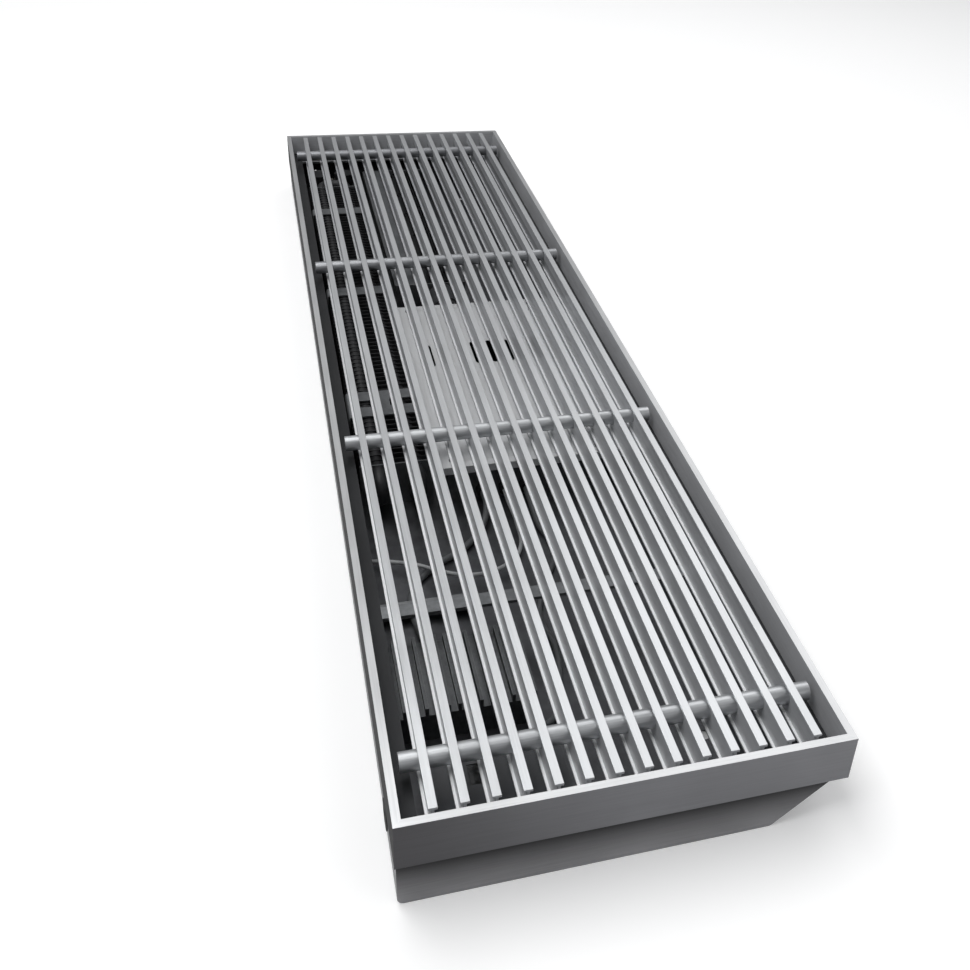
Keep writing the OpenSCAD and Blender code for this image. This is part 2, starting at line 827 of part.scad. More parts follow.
// Upright brackets at the ends of the wheel, each with a foot on the floor
bracket_left = across(outlet_distance);
bracket_right = wheel_y - wheel_radius - 2 * bracket_margin - guide_thickness;
bracket_foot = 12;
bracket_stud_inset = 9;
bracket_seat = floor_top + bracket_thickness;
bracket_stud_x = [motor_bracket_place - bracket_foot / 2, bearing_bracket_place
    + (bracket_foot + bracket_thickness) / 2];
bracket_stud_y = [bracket_left - bracket_stud_inset, bracket_right + bracket_stud_inset];
motor_boss_radius = 8;
rubber_radius = 12;
bush_radius = 7;
module blower_bracket(place, foot, hole) {
    difference() {
        union() {
            block([place, bracket_left, floor_top],
                [place + bracket_thickness, bracket_right, tongue_height + bracket_thickness]);
            block([place, bracket_left, floor_top], [place + foot, bracket_right, bracket_seat]);
        }
        for (x = bracket_stud_x, y = bracket_stud_y) stud_hole(x, y, bracket_seat);
        bar_x([place - overrun, wheel_y, wheel_height], bracket_thickness + 2 * overrun, hole);
    }
}
module motor_bracket() {
    color("#7d7f81")
        blower_bracket(motor_bracket_place, -bracket_foot, motor_boss_radius + shaft_clearance);
}
module bearing_bracket() {
    color("#7d7f81")
        blower_bracket(bearing_bracket_place, bracket_foot, rubber_radius);
}

// Motor: a can with a front boss in its bracket and end bells of smaller radius
module blower_motor() {
    color("#4a4b4d") translate([0, wheel_y, wheel_height]) difference() {
        union() {
            bar_x([motor_bracket_place - motor_length, 0, 0], motor_length - bell_length,
                motor_radius);
            bar_x([motor_bracket_place - motor_length - bell_length, 0, 0],
                motor_length + bell_length, bell_radius);
            bar_x([motor_bracket_place, 0, 0], 2 * bracket_thickness, motor_boss_radius);
        }
        bar_x([motor_bracket_place - shaft_in_motor - overrun, 0, 0],
            shaft_in_motor + 2 * bracket_thickness + 2 * overrun, shaft_radius + shaft_clearance);
    }
}

// Far bearing: a sintered bush in a rubber ring in the bracket
rubber_lip = 2;
module bearing_rubber() {
    color("#1f1f20") translate([0, wheel_y, wheel_height]) difference() {
        union() {
            bar_x([bearing_bracket_place, 0, 0], bush_length / 2, rubber_radius);
            bar_x([bearing_bracket_place + bracket_thickness, 0, 0],
                bush_length / 2 - bracket_thickness, rubber_radius + rubber_lip);
        }
        bar_x([bearing_bracket_place - overrun, 0, 0], bush_length / 2 + 2 * overrun, bush_radius);
    }
}
module bearing_bush() {
    color("#b08d4f") translate([0, wheel_y, wheel_height]) difference() {
        bar_x([bearing_bracket_place - bush_length / 4, 0, 0], 3 * bush_length / 4, bush_radius);
        bar_x([bearing_bracket_place - bush_length, 0, 0], 2 * bush_length,
            shaft_radius + shaft_clearance);
    }
}

// Control box under the silver cover

box_sheet = 1.2;
box_margin = 5;
box_near = along(cover_start + box_margin);
box_far = cover_end - box_margin;
box_left = across(cover_left + box_margin);
box_right = slope_foot + bend_radius;
cover_sheet = 1;
box_top = cover_height - cover_sheet;
tab_size = 12;
screw_shank_radius = 1.6;
screw_head_radius = 3.5;
screw_head_height = 2.2;
screw_crown = 1;
screw_hole_clearance = 0.1;
box_corners = [for (x = [box_near + tab_size / 2, box_far - tab_size / 2],
    y = [box_left - tab_size / 2, box_right + tab_size / 2]) [x, y]];
module control_box() {
    color("#8c8e90") difference() {
        union() {
            difference() {
                block([box_near, box_left, floor_top], [box_far, box_right, box_top]);
                block([box_near + box_sheet, box_left - box_sheet, floor_top + box_sheet],
                    [box_far - box_sheet, box_right + box_sheet, box_top + overrun]);
            }
            for (corner = box_corners)
                block([corner.x - tab_size / 2, corner.y - tab_size / 2, box_top - box_sheet],
                    [corner.x + tab_size / 2, corner.y + tab_size / 2, box_top]);
        }
        for (corner = box_corners)
            bar_z([corner.x, corner.y, box_top - 2 * box_sheet], 3 * box_sheet,
                screw_shank_radius + screw_hole_clearance);
    }
}

// Cover: a flat lid with all four edges turned down, the right one onto the trough's shoulder
cover_right_gap = 1.5;
slot_pitch = 16.7;
slot_left_distance = 112;
slot_start_distance = 572;
cover_right = slope_top + cover_right_gap;
module cover_plate() {
    color("#c4c6c8") difference() {
        block([along(cover_start), across(cover_left), frame_bottom],
            [cover_end, cover_right, cover_height]);
        block([along(cover_start) + cover_sheet, across(cover_left) - cover_sheet,
                frame_bottom - overrun],
            [cover_end - cover_sheet, cover_right + cover_sheet, box_top]);
        for (i = [0 : slot_count - 1]) let(y = across(slot_left_distance + i * slot_pitch))
            translate([along(slot_start_distance), y, box_top - overrun])
                linear_extrude(cover_sheet + 2 * overrun) {
                    translate([slot_width / 2, -slot_width / 2])
                        square([slot_length - slot_width, slot_width]);
                    for (end = [slot_width / 2, slot_length - slot_width / 2])
                        translate([end, 0]) circle(r = slot_width / 2);
                }
        for (corner = box_corners)
            bar_z([corner.x, corner.y, box_top - overrun], cover_sheet + 2 * overrun,
                screw_shank_radius + screw_hole_clearance);
    }
}

// Board on spacers, with its terminals and a laminated transformer beside it
board_margin = 20;
board_lift = 6;
board_thickness = 1.6;
board_length = 130;
spacer_radius = 3;
chip_height = 8;
chip_shares = [[0.2, 0.3], [0.45, 0.65], [0.7, 0.3], [0.82, 0.7]];
chip_size = [22, 16];
board_near = box_near + board_margin;
board_left = box_left - board_margin;
board_right = box_right + board_margin;
board_floor = floor_top + box_sheet;
board_top = board_floor + board_lift + board_thickness;
module circuit_board() {
    color("#3d5a45") {
        block([board_near, board_left, board_floor + board_lift],
            [board_near + board_length, board_right, board_top]);
        for (x = [board_near + 2 * spacer_radius, board_near + board_length - 2 * spacer_radius],
            y = [board_left - 2 * spacer_radius, board_right + 2 * spacer_radius])
            bar_z([x, y, board_floor], board_lift, spacer_radius);
        for (share = chip_shares) let(
            x = board_near + share.x * board_length,
            y = board_left + share.y * (board_right - board_left))
            block([x - chip_size.x / 2, y - chip_size.y / 2, board_top],
                [x + chip_size.x / 2, y + chip_size.y / 2, board_top + chip_height]);
    }
}
terminal_poles = 6;
pole_width = 8;
pole_depth = 12;
pole_height = 13;
pole_screw_radius = 2.2;
module terminal_strip(count) {
    difference() {
        cube([pole_depth, count * pole_width, pole_height]);
        for (i = [0 : count - 1])
            bar_z([pole_depth / 2, (i + 0.5) * pole_width, pole_height / 2], pole_height,
                pole_screw_radius);
        for (i = [0 : count - 1])
            bar_x([-overrun, (i + 0.5) * pole_width, pole_height / 4], pole_depth / 2,
                pole_screw_radius);
    }
}
module control_terminals() {
    color("#9fa3a0") translate([board_near, board_right + 4 * spacer_radius, board_top])
        terminal_strip(terminal_poles);
}
transformer_size = [34, 46, 28];
winding_radius = 4;
winding_margin = 6;
module transformer() {
    start = [box_far - board_margin - transformer_size.x,
        (box_left + box_right - transformer_size.y) / 2, board_floor];
    color("#55565a") {
        translate(start) cube(transformer_size);
        for (end = [-1, 1])
            translate(start + [end > 0 ? transformer_size.x : -winding_margin, winding_margin,
                winding_radius])
                cube([winding_margin, transformer_size.y - 2 * winding_margin,
                    transformer_size.z - 2 * winding_radius]);
    }
}

// Near compartment: terminal box, power supply and the leads between them

terminal_near_distance = 24;
terminal_left_distance = 30;
terminal_near = along(terminal_near_distance);
terminal_left = across(terminal_left_distance);
plastic_wall = 2;
lid_thickness = 3;
terminal_top = floor_top + terminal_height - lid_thickness;
module terminal_box() {
    color("#5d5f61") difference() {
        block([terminal_near, terminal_left, floor_top],
            [terminal_near + terminal_length, terminal_left - terminal_width, terminal_top]);
        block([terminal_near + plastic_wall, terminal_left - plastic_wall, floor_top + plastic_wall],
            [terminal_near + terminal_length - plastic_wall,
                terminal_left - terminal_width + plastic_wall, terminal_top + overrun]);
        bar_y([along(entry_along), terminal_left - plastic_wall - overrun, entry_height],
            plastic_wall + 2 * overrun, cable_radius);
    }
}

// Lid with a small window over the terminals
window_size = [15, 10];
window_place = [29, 27];
window_rebate = 1;
window_thickness = 1.5;
lid_screw_inset = 6;
lid_corners = [for (x = [lid_screw_inset, terminal_length - lid_screw_inset],
    y = [lid_screw_inset, terminal_width - lid_screw_inset])
    [terminal_near + x, terminal_left - y]];
function window_corner(grow, height) = [terminal_near + window_place.x - grow,
    terminal_left - window_place.y + grow, height];
function window_far_corner(grow, height) = [terminal_near + window_place.x + window_size.x + grow,
    terminal_left - window_place.y - window_size.y - grow, height];
module terminal_box_lid() {
    top = terminal_top + lid_thickness;
    color("#6c6e70") difference() {
        block([terminal_near, terminal_left, terminal_top],
            [terminal_near + terminal_length, terminal_left - terminal_width, top]);
        block(window_corner(0, terminal_top - overrun), window_far_corner(0, top + overrun));
        block(window_corner(window_rebate, top - window_thickness),
            window_far_corner(window_rebate, top + overrun));
        for (corner = lid_corners)
            bar_z([corner.x, corner.y, top - 2 * window_thickness + window_rebate], lid_thickness,
                screw_shank_radius + screw_hole_clearance);
    }
}
module terminal_window() {
    top = terminal_top + lid_thickness;
    color("#cfd6da") block(window_corner(window_rebate, top - window_thickness),
        window_far_corner(window_rebate, top));
}
mains_poles = 5;
module mains_terminals() {
    color("#c9c9c4") translate([terminal_near + window_place.x - pole_depth / 2,
        terminal_left - terminal_width / 2 - mains_poles * pole_width / 2, floor_top + plastic_wall])
        terminal_strip(mains_poles);
}

// Power supply in a ribbed aluminium case
supply_near_distance = 124;
supply_left_distance = 14;
supply_near = along(supply_near_distance);
supply_left = across(supply_left_distance);
rib_height = 7;
rib_count = 14;
rib_thickness = 2.5;
module power_supply() {
    color("#707274") {
        block([supply_near, supply_left, floor_top],
            [supply_near + supply_length, supply_left - supply_width,
                floor_top + supply_height - rib_height]);
        for (i = [0 : rib_count - 1]) let(
            y = supply_left - i * (supply_width - rib_thickness) / (rib_count - 1))
            block([supply_near, y, floor_top + supply_height - rib_height],
                [supply_near + supply_length, y - rib_thickness, floor_top + supply_height]);
    }
}

// Flat clamp bar with one round end, on two round feet, over the leads
clamp_along = 254;
clamp_width = 18;
clamp_thickness = 2;
clamp_height = 8;
clamp_foot_radius = 4;
clamp_left = 9;
clamp_right = 92;
clamp_seat = floor_top + clamp_height;
clamp_feet = [across(clamp_left + clamp_width / 2), across(clamp_right)];
module strain_relief_bar() {
    low = clamp_seat - clamp_thickness;
    color("#a6a8aa") difference() {
        translate([along(clamp_along), 0, 0]) {
            translate([0, 0, low]) linear_extrude(clamp_thickness) {
                translate([-clamp_width / 2, across(clamp_right)])
                    square([clamp_width, clamp_right - clamp_left]);
                translate([0, across(clamp_right)]) circle(r = clamp_width / 2);
            }
            for (y = clamp_feet) bar_z([0, y, floor_top], low - floor_top, clamp_foot_radius);
        }
        for (y = clamp_feet) stud_hole(along(clamp_along), y, clamp_seat);
    }
}

// Leads, each swept along its route of [along, across, height] points. The routes start and end
// inside the bushes of the boxes, and the earth lead starts on its ring tag.
power_lead_radius = 3;
signal_lead_radius = 2.5;
earth_lead_radius = 1.8;
lead_sides = 8;
lead_steps = 2;
entry_level = 14;
bush_depth = 8;
bush_wall = 2.5;
bush_clearance = 0.1;
supply_lead_start = 50;
supply_lead_end = 130;
signal_lead_start = 108;
signal_lead_end = 170;
earth_lead_end = 150;
supply_route = [[196, 50, 14], [204, 50, 14], [208, 50, 14], [220, 49, 10], [236, 48, 5],
    [254, 46, 4.8], [280, 50, 4.8], [305, 70, 4.8], [325, 100, 4.8], [350, 122, 8], [374, 130, 13.5],
    [386, 130, 14], [389, 130, 14], [397, 130, 14]];
signal_route = [[90, 108, 14], [98, 108, 14], [102, 108, 14], [111, 117, 9], [122, 131, 4.3],
    [150, 142, 4.3], [190, 150, 4.3], [230, 146, 4.3], [270, 162, 4.3], [310, 178, 4.3],
    [345, 172, 6], [372, 170, 13.5], [386, 170, 14], [389, 170, 14], [397, 170, 14]];
earth_route = [[337, 16, 4.2], [331, 16, 4.2], [327, 16, 4.2], [318, 30, 8], [304, 56, 11.5], [290, 78, 11.5],
    [282, 100, 11.5], [290, 130, 10], [312, 148, 8], [345, 152, 10], [374, 150, 13.5], [386, 150, 14],
    [389, 150, 14], [397, 150, 14]];

// Point between b and c on a smooth curve through four neighbours
function between(a, b, c, d, t) = 0.5 * (2 * b + (c - a) * t + (2 * a - 5 * b + 4 * c - d) * t * t
    + (3 * b - a - 3 * c + d) * t * t * t);
function smooth(route) = let(last = len(route) - 1) concat(
    [for (i = [0 : last - 1], k = [0 : lead_steps - 1])
        between(route[max(i - 1, 0)], route[i], route[i + 1], route[min(i + 2, last)],
            k / lead_steps)],
    [route[last]]);
function placed(route) = [for (p = route) [along(p[0]), across(p[1]), p[2]]];
function ring(points, i, radius) = let(
    last = len(points) - 1,
    ahead = unit(points[min(i + 1, last)] - points[max(i - 1, 0)]),
    side = unit(cross([0, 0, 1], ahead)),
    up = cross(ahead, side))
    [for (k = [0 : lead_sides - 1]) let(w = (k + 0.5) * 360 / lead_sides)
        points[i] + radius * (cos(w) * side + sin(w) * up)];
module swept_lead(route, radius) {
    points = smooth(placed(route));
    last = len(points) - 1;
    polyhedron(
        points = [for (i = [0 : last]) each ring(points, i, radius)],
        faces = concat(
            [[for (k = [0 : lead_sides - 1]) k]],
            [for (i = [0 : last - 1], k = [0 : lead_sides - 1]) let(
                a = i * lead_sides + k,
                b = i * lead_sides + (k + 1) % lead_sides)
                each [[a, a + lead_sides, b], [b, a + lead_sides, b + lead_sides]]],
            [[for (k = [lead_sides - 1 : -1 : 0]) last * lead_sides + k]]));
}
module supply_lead() {
    color("#8f9193") swept_lead(supply_route, power_lead_radius);
}
module signal_lead() {
    color("#6b6d6f") swept_lead(signal_route, signal_lead_radius);
}

// Earth lead with the ring tag at its start, crimped on and held by a nut on the floor
tag_radius = 5;
tag_thickness = 1;
tag_reach = 6;
tag_tongue_width = 4;
barrel_wall = 0.8;
barrel_length = 6;
barrel_level = 4.2;
tag_distance = 344;
tag_across = 16;
tag_x = along(tag_distance);
tag_y = across(tag_across);
module ring_tag() {
    barrel_start = along(tag_distance - tag_reach);
    difference() {
        union() {
            bar_z([tag_x, tag_y, floor_top], tag_thickness, tag_radius);
            block([barrel_start - barrel_wall, tag_y - tag_tongue_width / 2, floor_top],
                [tag_x, tag_y + tag_tongue_width / 2, floor_top + tag_thickness]);
            bar_x([barrel_start - barrel_length, tag_y, barrel_level], barrel_length,
                earth_lead_radius + barrel_wall);
        }
        bar_x([barrel_start - barrel_length - overrun, tag_y, barrel_level],
            barrel_length + overrun, earth_lead_radius + bush_clearance);
        stud_hole(tag_x, tag_y, floor_top + tag_thickness);
    }
}
module earth_lead() {
    color("#c9cbcc") {
        swept_lead(earth_route, earth_lead_radius);
        ring_tag();
    }
}

// Bushes that grip the leads where they meet the boxes
module bush(face, distance, radius, direction) {
    level = entry_level;
    difference() {
        bar_x([direction > 0 ? face : face - bush_depth, across(distance), level], bush_depth,
            radius + bush_wall);
        bar_x([direction > 0 ? face - overrun : face - bush_depth - overrun, across(distance), level],
            bush_depth + 2 * overrun, radius + bush_clearance);
    }
}
module lead_bushes() {
    color("#2a2a2b") {
        bush(supply_near + supply_length, supply_lead_start, power_lead_radius, 1);
        bush(terminal_near + terminal_length, signal_lead_start, signal_lead_radius, 1);
        bush(box_near, supply_lead_end, power_lead_radius, -1);
        bush(box_near, signal_lead_end, signal_lead_radius, -1);
        bush(box_near, earth_lead_end, earth_lead_radius, -1);
    }
}

// Pan-head screws of the cover and the lid, and the studs with their nuts on the floor
module pan_screw(place, depth) {
    dome = (screw_head_radius ^ 2 + screw_head_height ^ 2) / (2 * screw_head_height);
    bar_z([place.x, place.y, place.z - depth], depth, screw_shank_radius);
    translate(place) intersection() {
        cylinder(h = screw_head_height, r = screw_head_radius);
        translate([0, 0, screw_head_height - dome - screw_crown]) sphere(r = dome + screw_crown);
    }
}
module fixing_screws() {
    color("#b0b2b4") {
        for (corner = box_corners)
            pan_screw([corner.x, corner.y, cover_height], cover_sheet + box_sheet);
        for (corner = lid_corners)
            pan_screw([corner.x, corner.y, terminal_top + lid_thickness], window_thickness);
        for (share = strap_shares) stud_and_nut(strap_middle(share), strap_stud_y, strap_seat);
        for (x = wide_strap_studs) stud_and_nut(x, strap_stud_y, strap_seat);
        for (x = bracket_stud_x, y = bracket_stud_y) stud_and_nut(x, y, bracket_seat);
        for (y = clamp_feet) stud_and_nut(along(clamp_along), y, clamp_seat);
        stud_and_nut(tag_x, tag_y, floor_top + tag_thickness);
    }
}

trough();
near_end_plate();
far_end_plate();
frame_rail_left();
frame_rail_right();
frame_rail_near();
frame_rail_far();
ledge_angle_left();
ledge_angle_right();
ledge_angle_near();
ledge_angle_far();
cross_brace_near();
cross_brace_far();
cable_grommet();
end_plate_rivets();
grille_bars();
tie_rods();
spacer_tubes();
end_spacers();
rod_end_nuts();
coil_fins();
coil_tubes();
return_bends();
coil_end_plates();
coil_straps();
slotted_strap();
union_nuts();
regulating_valve();
valve_pin();
valve_cap();
lockshield_valve();
lockshield_cap();
air_vent();
vent_screw();
blower_guide();
blower_tongue();
motor_bracket();
blower_motor();
bearing_bracket();
bearing_rubber();
bearing_bush();
blower_wheel();
wheel_damper();
wheel_shafts();
control_box();
cover_plate();
circuit_board();
transformer();
control_terminals();
terminal_box();
terminal_box_lid();
terminal_window();
mains_terminals();
power_supply();
strain_relief_bar();
lead_bushes();
supply_lead();
signal_lead();
earth_lead();
fixing_screws();
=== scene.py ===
import json
import math

import bmesh
import bpy
from mathutils import Matrix, Vector


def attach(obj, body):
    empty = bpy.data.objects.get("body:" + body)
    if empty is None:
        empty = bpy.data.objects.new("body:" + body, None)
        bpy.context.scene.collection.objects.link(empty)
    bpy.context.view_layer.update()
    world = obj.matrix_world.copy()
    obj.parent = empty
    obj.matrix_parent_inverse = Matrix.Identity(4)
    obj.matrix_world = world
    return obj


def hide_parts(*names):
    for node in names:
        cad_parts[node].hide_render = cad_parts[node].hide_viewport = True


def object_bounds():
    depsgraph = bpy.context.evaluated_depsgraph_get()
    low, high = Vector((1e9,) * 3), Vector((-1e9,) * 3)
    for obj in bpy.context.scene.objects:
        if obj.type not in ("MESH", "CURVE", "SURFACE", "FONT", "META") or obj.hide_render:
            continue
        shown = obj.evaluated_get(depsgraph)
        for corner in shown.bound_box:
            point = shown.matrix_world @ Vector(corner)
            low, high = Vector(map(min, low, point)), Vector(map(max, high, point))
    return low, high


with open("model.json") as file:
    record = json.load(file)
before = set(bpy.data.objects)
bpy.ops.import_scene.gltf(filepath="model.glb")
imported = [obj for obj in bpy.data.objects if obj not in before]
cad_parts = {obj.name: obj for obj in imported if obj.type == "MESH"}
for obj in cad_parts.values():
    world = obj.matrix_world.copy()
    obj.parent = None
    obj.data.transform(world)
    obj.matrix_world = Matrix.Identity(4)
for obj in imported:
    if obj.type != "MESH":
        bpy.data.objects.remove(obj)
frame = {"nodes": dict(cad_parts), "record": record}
cad_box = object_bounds()


# Camera: it stands at the near end, a little left of the heater, and looks down along it.
# Its place, turn and lens were fitted to the corners of the frame in the 970 x 970 picture.
camera_place = (-1.0433, 0.1928, 0.6522)
camera_right = (-0.28009, -0.95735, 0.07081)
camera_up = (0.51368, -0.08715, 0.85355)
camera_back = (-0.81098, 0.27545, 0.51618)
picture_width = 970
axis_right_of_middle = 123.2
axis_above_middle = 103.2
sensor_width_mm = 36
focal_length_mm = 42.32
nearest_seen = 0.05

camera = bpy.data.objects.new("camera", bpy.data.cameras.new("camera"))
bpy.context.scene.collection.objects.link(camera)
turn = Matrix((camera_right, camera_up, camera_back)).transposed().to_4x4()
camera.matrix_world = Matrix.Translation(camera_place) @ turn
camera.data.sensor_width = sensor_width_mm
camera.data.lens = focal_length_mm
camera.data.shift_x = -axis_right_of_middle / picture_width
camera.data.shift_y = -axis_above_middle / picture_width
camera.data.clip_start = nearest_seen
bpy.context.scene.camera = camera
bpy.context.scene.view_settings.view_transform = "Standard"


# Studio: a key light overhead and to the left that shines down between the bars, a box beyond the
# far end at the right, a lower one further out that the near tops mirror, a weak one at the near
# right for the outer faces, and an even pale surround. The floor is matt white paper that keeps the
# shadow. It glows faintly where it is seen or mirrored, though not in the half-sizes under the
# trough, where it shows through the floor holes.
def linear(colour):
    """The linear red, green, blue and alpha of an sRGB hex colour."""
    channels = [int(colour[i:i + 2], 16) / 255 for i in (1, 3, 5)]
    return [c / 12.92 if c <= 0.04045 else ((c + 0.055) / 1.055) ** 2.4 for c in channels] + [1.0]


def add_node(material, kind, values=None, links=None, **settings):
    """A node with its settings, the values of its inputs, and links from (node, output) pairs."""
    node = material.node_tree.nodes.new(kind)
    for name, value in settings.items():
        setattr(node, name, value)
    for name, value in (values or {}).items():
        node.inputs[name].default_value = value
    for name, (source, output) in (links or {}).items():
        material.node_tree.links.new(source.outputs[output], node.inputs[name])
    return node


def soft_box(name, place, target, size, power):
    """A rectangular lamp of that size in metres and power in watts, turned to a target."""
    lamp = bpy.data.lights.new(name, "AREA")
    lamp.shape = "RECTANGLE"
    lamp.size, lamp.size_y = size
    lamp.energy = power
    box = bpy.data.objects.new(name, lamp)
    bpy.context.scene.collection.objects.link(box)
    aim = (Vector(place) - Vector(target)).to_track_quat("Z", "Y")
    box.matrix_world = Matrix.Translation(place) @ aim.to_matrix().to_4x4()


soft_box("key_box", place=(0.1, 0.85, 2.5), target=(0, 0, 0), size=(3.0, 1.5), power=56)
soft_box("far_box", place=(1.2, -1.3, 2.25), target=(-0.45, 0, 0), size=(2.0, 1.6), power=14)
soft_box("low_box", place=(3.2, -0.25, 2.15), target=(0.1, 0.1, 0), size=(2.6, 1.3), power=4.5)
soft_box("near_box", place=(-2.2, -2.0, 1.0), target=(-0.6, -0.1, 0), size=(1.6, 1.0), power=8)

surround_strength = 0.36
world = bpy.data.worlds.new("pale_surround")
bpy.context.scene.world = world
world.use_nodes = True
world.node_tree.nodes["Background"].inputs["Color"].default_value = linear("#f2f3f5")
world.node_tree.nodes["Background"].inputs["Strength"].default_value = surround_strength

floor_size = 120
floor_lift = 0.2
under_trough = (0.58, 0.09)
paper_roughness = 0.9
floor_mesh = bmesh.new()
bmesh.ops.create_grid(floor_mesh, x_segments=1, y_segments=1, size=floor_size / 2)
floor_data = bpy.data.meshes.new("floor")
floor_mesh.to_mesh(floor_data)
floor_mesh.free()
floor = bpy.data.objects.new("floor", floor_data)
bpy.context.scene.collection.objects.link(floor)
floor.location.z = cad_box[0].z
floor_white = bpy.data.materials.new("matt_white_paper")
floor_white.use_nodes = True
floor_shader = floor_white.node_tree.nodes["Principled BSDF"]
ray = add_node(floor_white, "ShaderNodeLightPath")
mirrored = add_node(floor_white, "ShaderNodeMath", {},
                    {0: (ray, "Is Glossy Ray"), 1: (ray, "Is Transmission Ray")},
                    operation="MAXIMUM")
seen = add_node(floor_white, "ShaderNodeMath", {},
                {0: (ray, "Is Camera Ray"), 1: (mirrored, "Value")}, operation="MAXIMUM")
place = add_node(floor_white, "ShaderNodeTexCoord")
aside = add_node(floor_white, "ShaderNodeVectorMath", {}, {0: (place, "Object")},
                 operation="ABSOLUTE")
beyond = add_node(floor_white, "ShaderNodeVectorMath", {1: (*under_trough, 0)},
                  {0: (aside, "Vector")}, operation="SUBTRACT")
sides = add_node(floor_white, "ShaderNodeSeparateXYZ", {}, {0: (beyond, "Vector")})
furthest = add_node(floor_white, "ShaderNodeMath", {}, {0: (sides, "X"), 1: (sides, "Y")},
                    operation="MAXIMUM")
in_open = add_node(floor_white, "ShaderNodeMath", {1: 0}, {0: (furthest, "Value")},
                   operation="GREATER_THAN")
seen_open = add_node(floor_white, "ShaderNodeMath", {},
                     {0: (seen, "Value"), 1: (in_open, "Value")}, operation="MULTIPLY")
lift = add_node(floor_white, "ShaderNodeMath", {1: floor_lift}, {0: (seen_open, "Value")},
                operation="MULTIPLY")
floor_shader.inputs["Base Color"].default_value = linear("#f2f2f2")
floor_shader.inputs["Roughness"].default_value = paper_roughness
floor_shader.inputs["Emission Color"].default_value = linear("#ffffff")
floor_white.node_tree.links.new(lift.outputs["Value"], floor_shader.inputs["Emission Strength"])
floor_data.materials.append(floor_white)


# Frame rails: stainless flat bar on edge, mitred and welded at the corners. The top edge is ground
# after welding and shines. The outer faces keep the dark brushing of the rolled bar and are
# darkened
# further by painted shade: the left one is painted near black and matt, and the near one has
# painted shade that darkens it towards its left corner. The inner faces are a lighter mill grey.
# The lines of the grinding run along each bar and are drawn about a millimetre wide, coarser than
# real ones, so that they show.
def metal(name, low, high, roughness, grain, relief, metallic=1.0, gloss_spread=0.12,
          worn="#e4e5e6", wear=0.5, rub=0.7):
    """A metal finish. Its grain, in mm along X, Y and Z, varies colour, gloss and, by relief mm,
    height. Broad patches add to the colour. wear is how strongly edges are rubbed towards the worn
    colour over a width of rub mm."""
    patch_mm = 62.5
    noise_low, noise_high = 0.75, 1.25
    fine_low, fine_high = 0.3, 0.7
    flat_turn, edge_turn = 0.99, 0.8
    made = bpy.data.materials.new(name)
    made.use_nodes = True
    shader = made.node_tree.nodes["Principled BSDF"]
    place = add_node(made, "ShaderNodeTexCoord")
    scaled = add_node(made, "ShaderNodeMapping", {"Scale": [1000 / g for g in grain]},
                      {"Vector": (place, "Object")})
    fine = add_node(made, "ShaderNodeTexNoise", {"Scale": 1.0, "Detail": 3.0, "Roughness": 0.6},
                    {"Vector": (scaled, "Vector")})
    broad = add_node(made, "ShaderNodeTexNoise", {"Scale": 1000 / patch_mm, "Detail": 2.0},
                     {"Vector": (place, "Object")})
    both = add_node(made, "ShaderNodeMath", {}, {0: (fine, "Fac"), 1: (broad, "Fac")},
                    operation="ADD")
    share = add_node(made, "ShaderNodeMapRange", {"From Min": noise_low, "From Max": noise_high},
                     {"Value": (both, "Value")})
    colour = add_node(made, "ShaderNodeMix", {6: linear(low), 7: linear(high)},
                      {0: (share, "Result")}, data_type="RGBA")
    rounded = add_node(made, "ShaderNodeBevel", {"Radius": rub / 1000}, samples=4)
    surface = add_node(made, "ShaderNodeNewGeometry")
    turned = add_node(made, "ShaderNodeVectorMath", {},
                      {0: (rounded, "Normal"), 1: (surface, "True Normal")},
                      operation="DOT_PRODUCT")
    edge = add_node(made, "ShaderNodeMapRange",
                    {"From Min": flat_turn, "From Max": edge_turn, "To Max": wear},
                    {"Value": (turned, "Value")})
    rubbed = add_node(made, "ShaderNodeMath", {}, {0: (edge, "Result"), 1: (broad, "Fac")},
                      operation="MULTIPLY")
    finish = add_node(made, "ShaderNodeMix", {7: linear(worn)},
                      {0: (rubbed, "Value"), 6: (colour, 2)}, data_type="RGBA")
    gloss = add_node(made, "ShaderNodeMapRange",
                     {"From Min": fine_low, "From Max": fine_high,
                      "To Min": roughness - gloss_spread / 2,
                      "To Max": roughness + gloss_spread / 2}, {"Value": (fine, "Fac")})
    bump = add_node(made, "ShaderNodeBump", {"Strength": 1.0, "Distance": relief / 1000},
                    {"Height": (fine, "Fac")})
    links = made.node_tree.links
    links.new(finish.outputs[2], shader.inputs["Base Color"])
    links.new(gloss.outputs["Result"], shader.inputs["Roughness"])
    links.new(bump.outputs["Normal"], shader.inputs["Normal"])
    shader.inputs["Metallic"].default_value = metallic
    return made


def tint(material, mask, colour, metallic=None, roughness=None):
    """Multiplies the finish by a colour where a mask is 1, and sets how metallic and rough it is
    there."""
    shader = material.node_tree.nodes["Principled BSDF"]
    links = material.node_tree.links
    before = shader.inputs["Base Color"].links[0].from_socket
    shaded = add_node(material, "ShaderNodeMix", {0: 1.0, 7: linear(colour)}, {},
                      data_type="RGBA", blend_type="MULTIPLY")
    links.new(before, shaded.inputs[6])
    chosen = add_node(material, "ShaderNodeMix", {}, {0: (mask, 0), 7: (shaded, 2)},
                      data_type="RGBA")
    links.new(before, chosen.inputs[6])
    links.new(chosen.outputs[2], shader.inputs["Base Color"])
    for name, value in (("Metallic", metallic), ("Roughness", roughness)):
        if value is not None:
            socket = shader.inputs[name]
            amount = add_node(material, "ShaderNodeMix", {2: socket.default_value, 3: value},
                              {0: (mask, 0)})
            if socket.is_linked:
                links.new(socket.links[0].from_socket, amount.inputs[2])
            links.new(amount.outputs[0], socket)


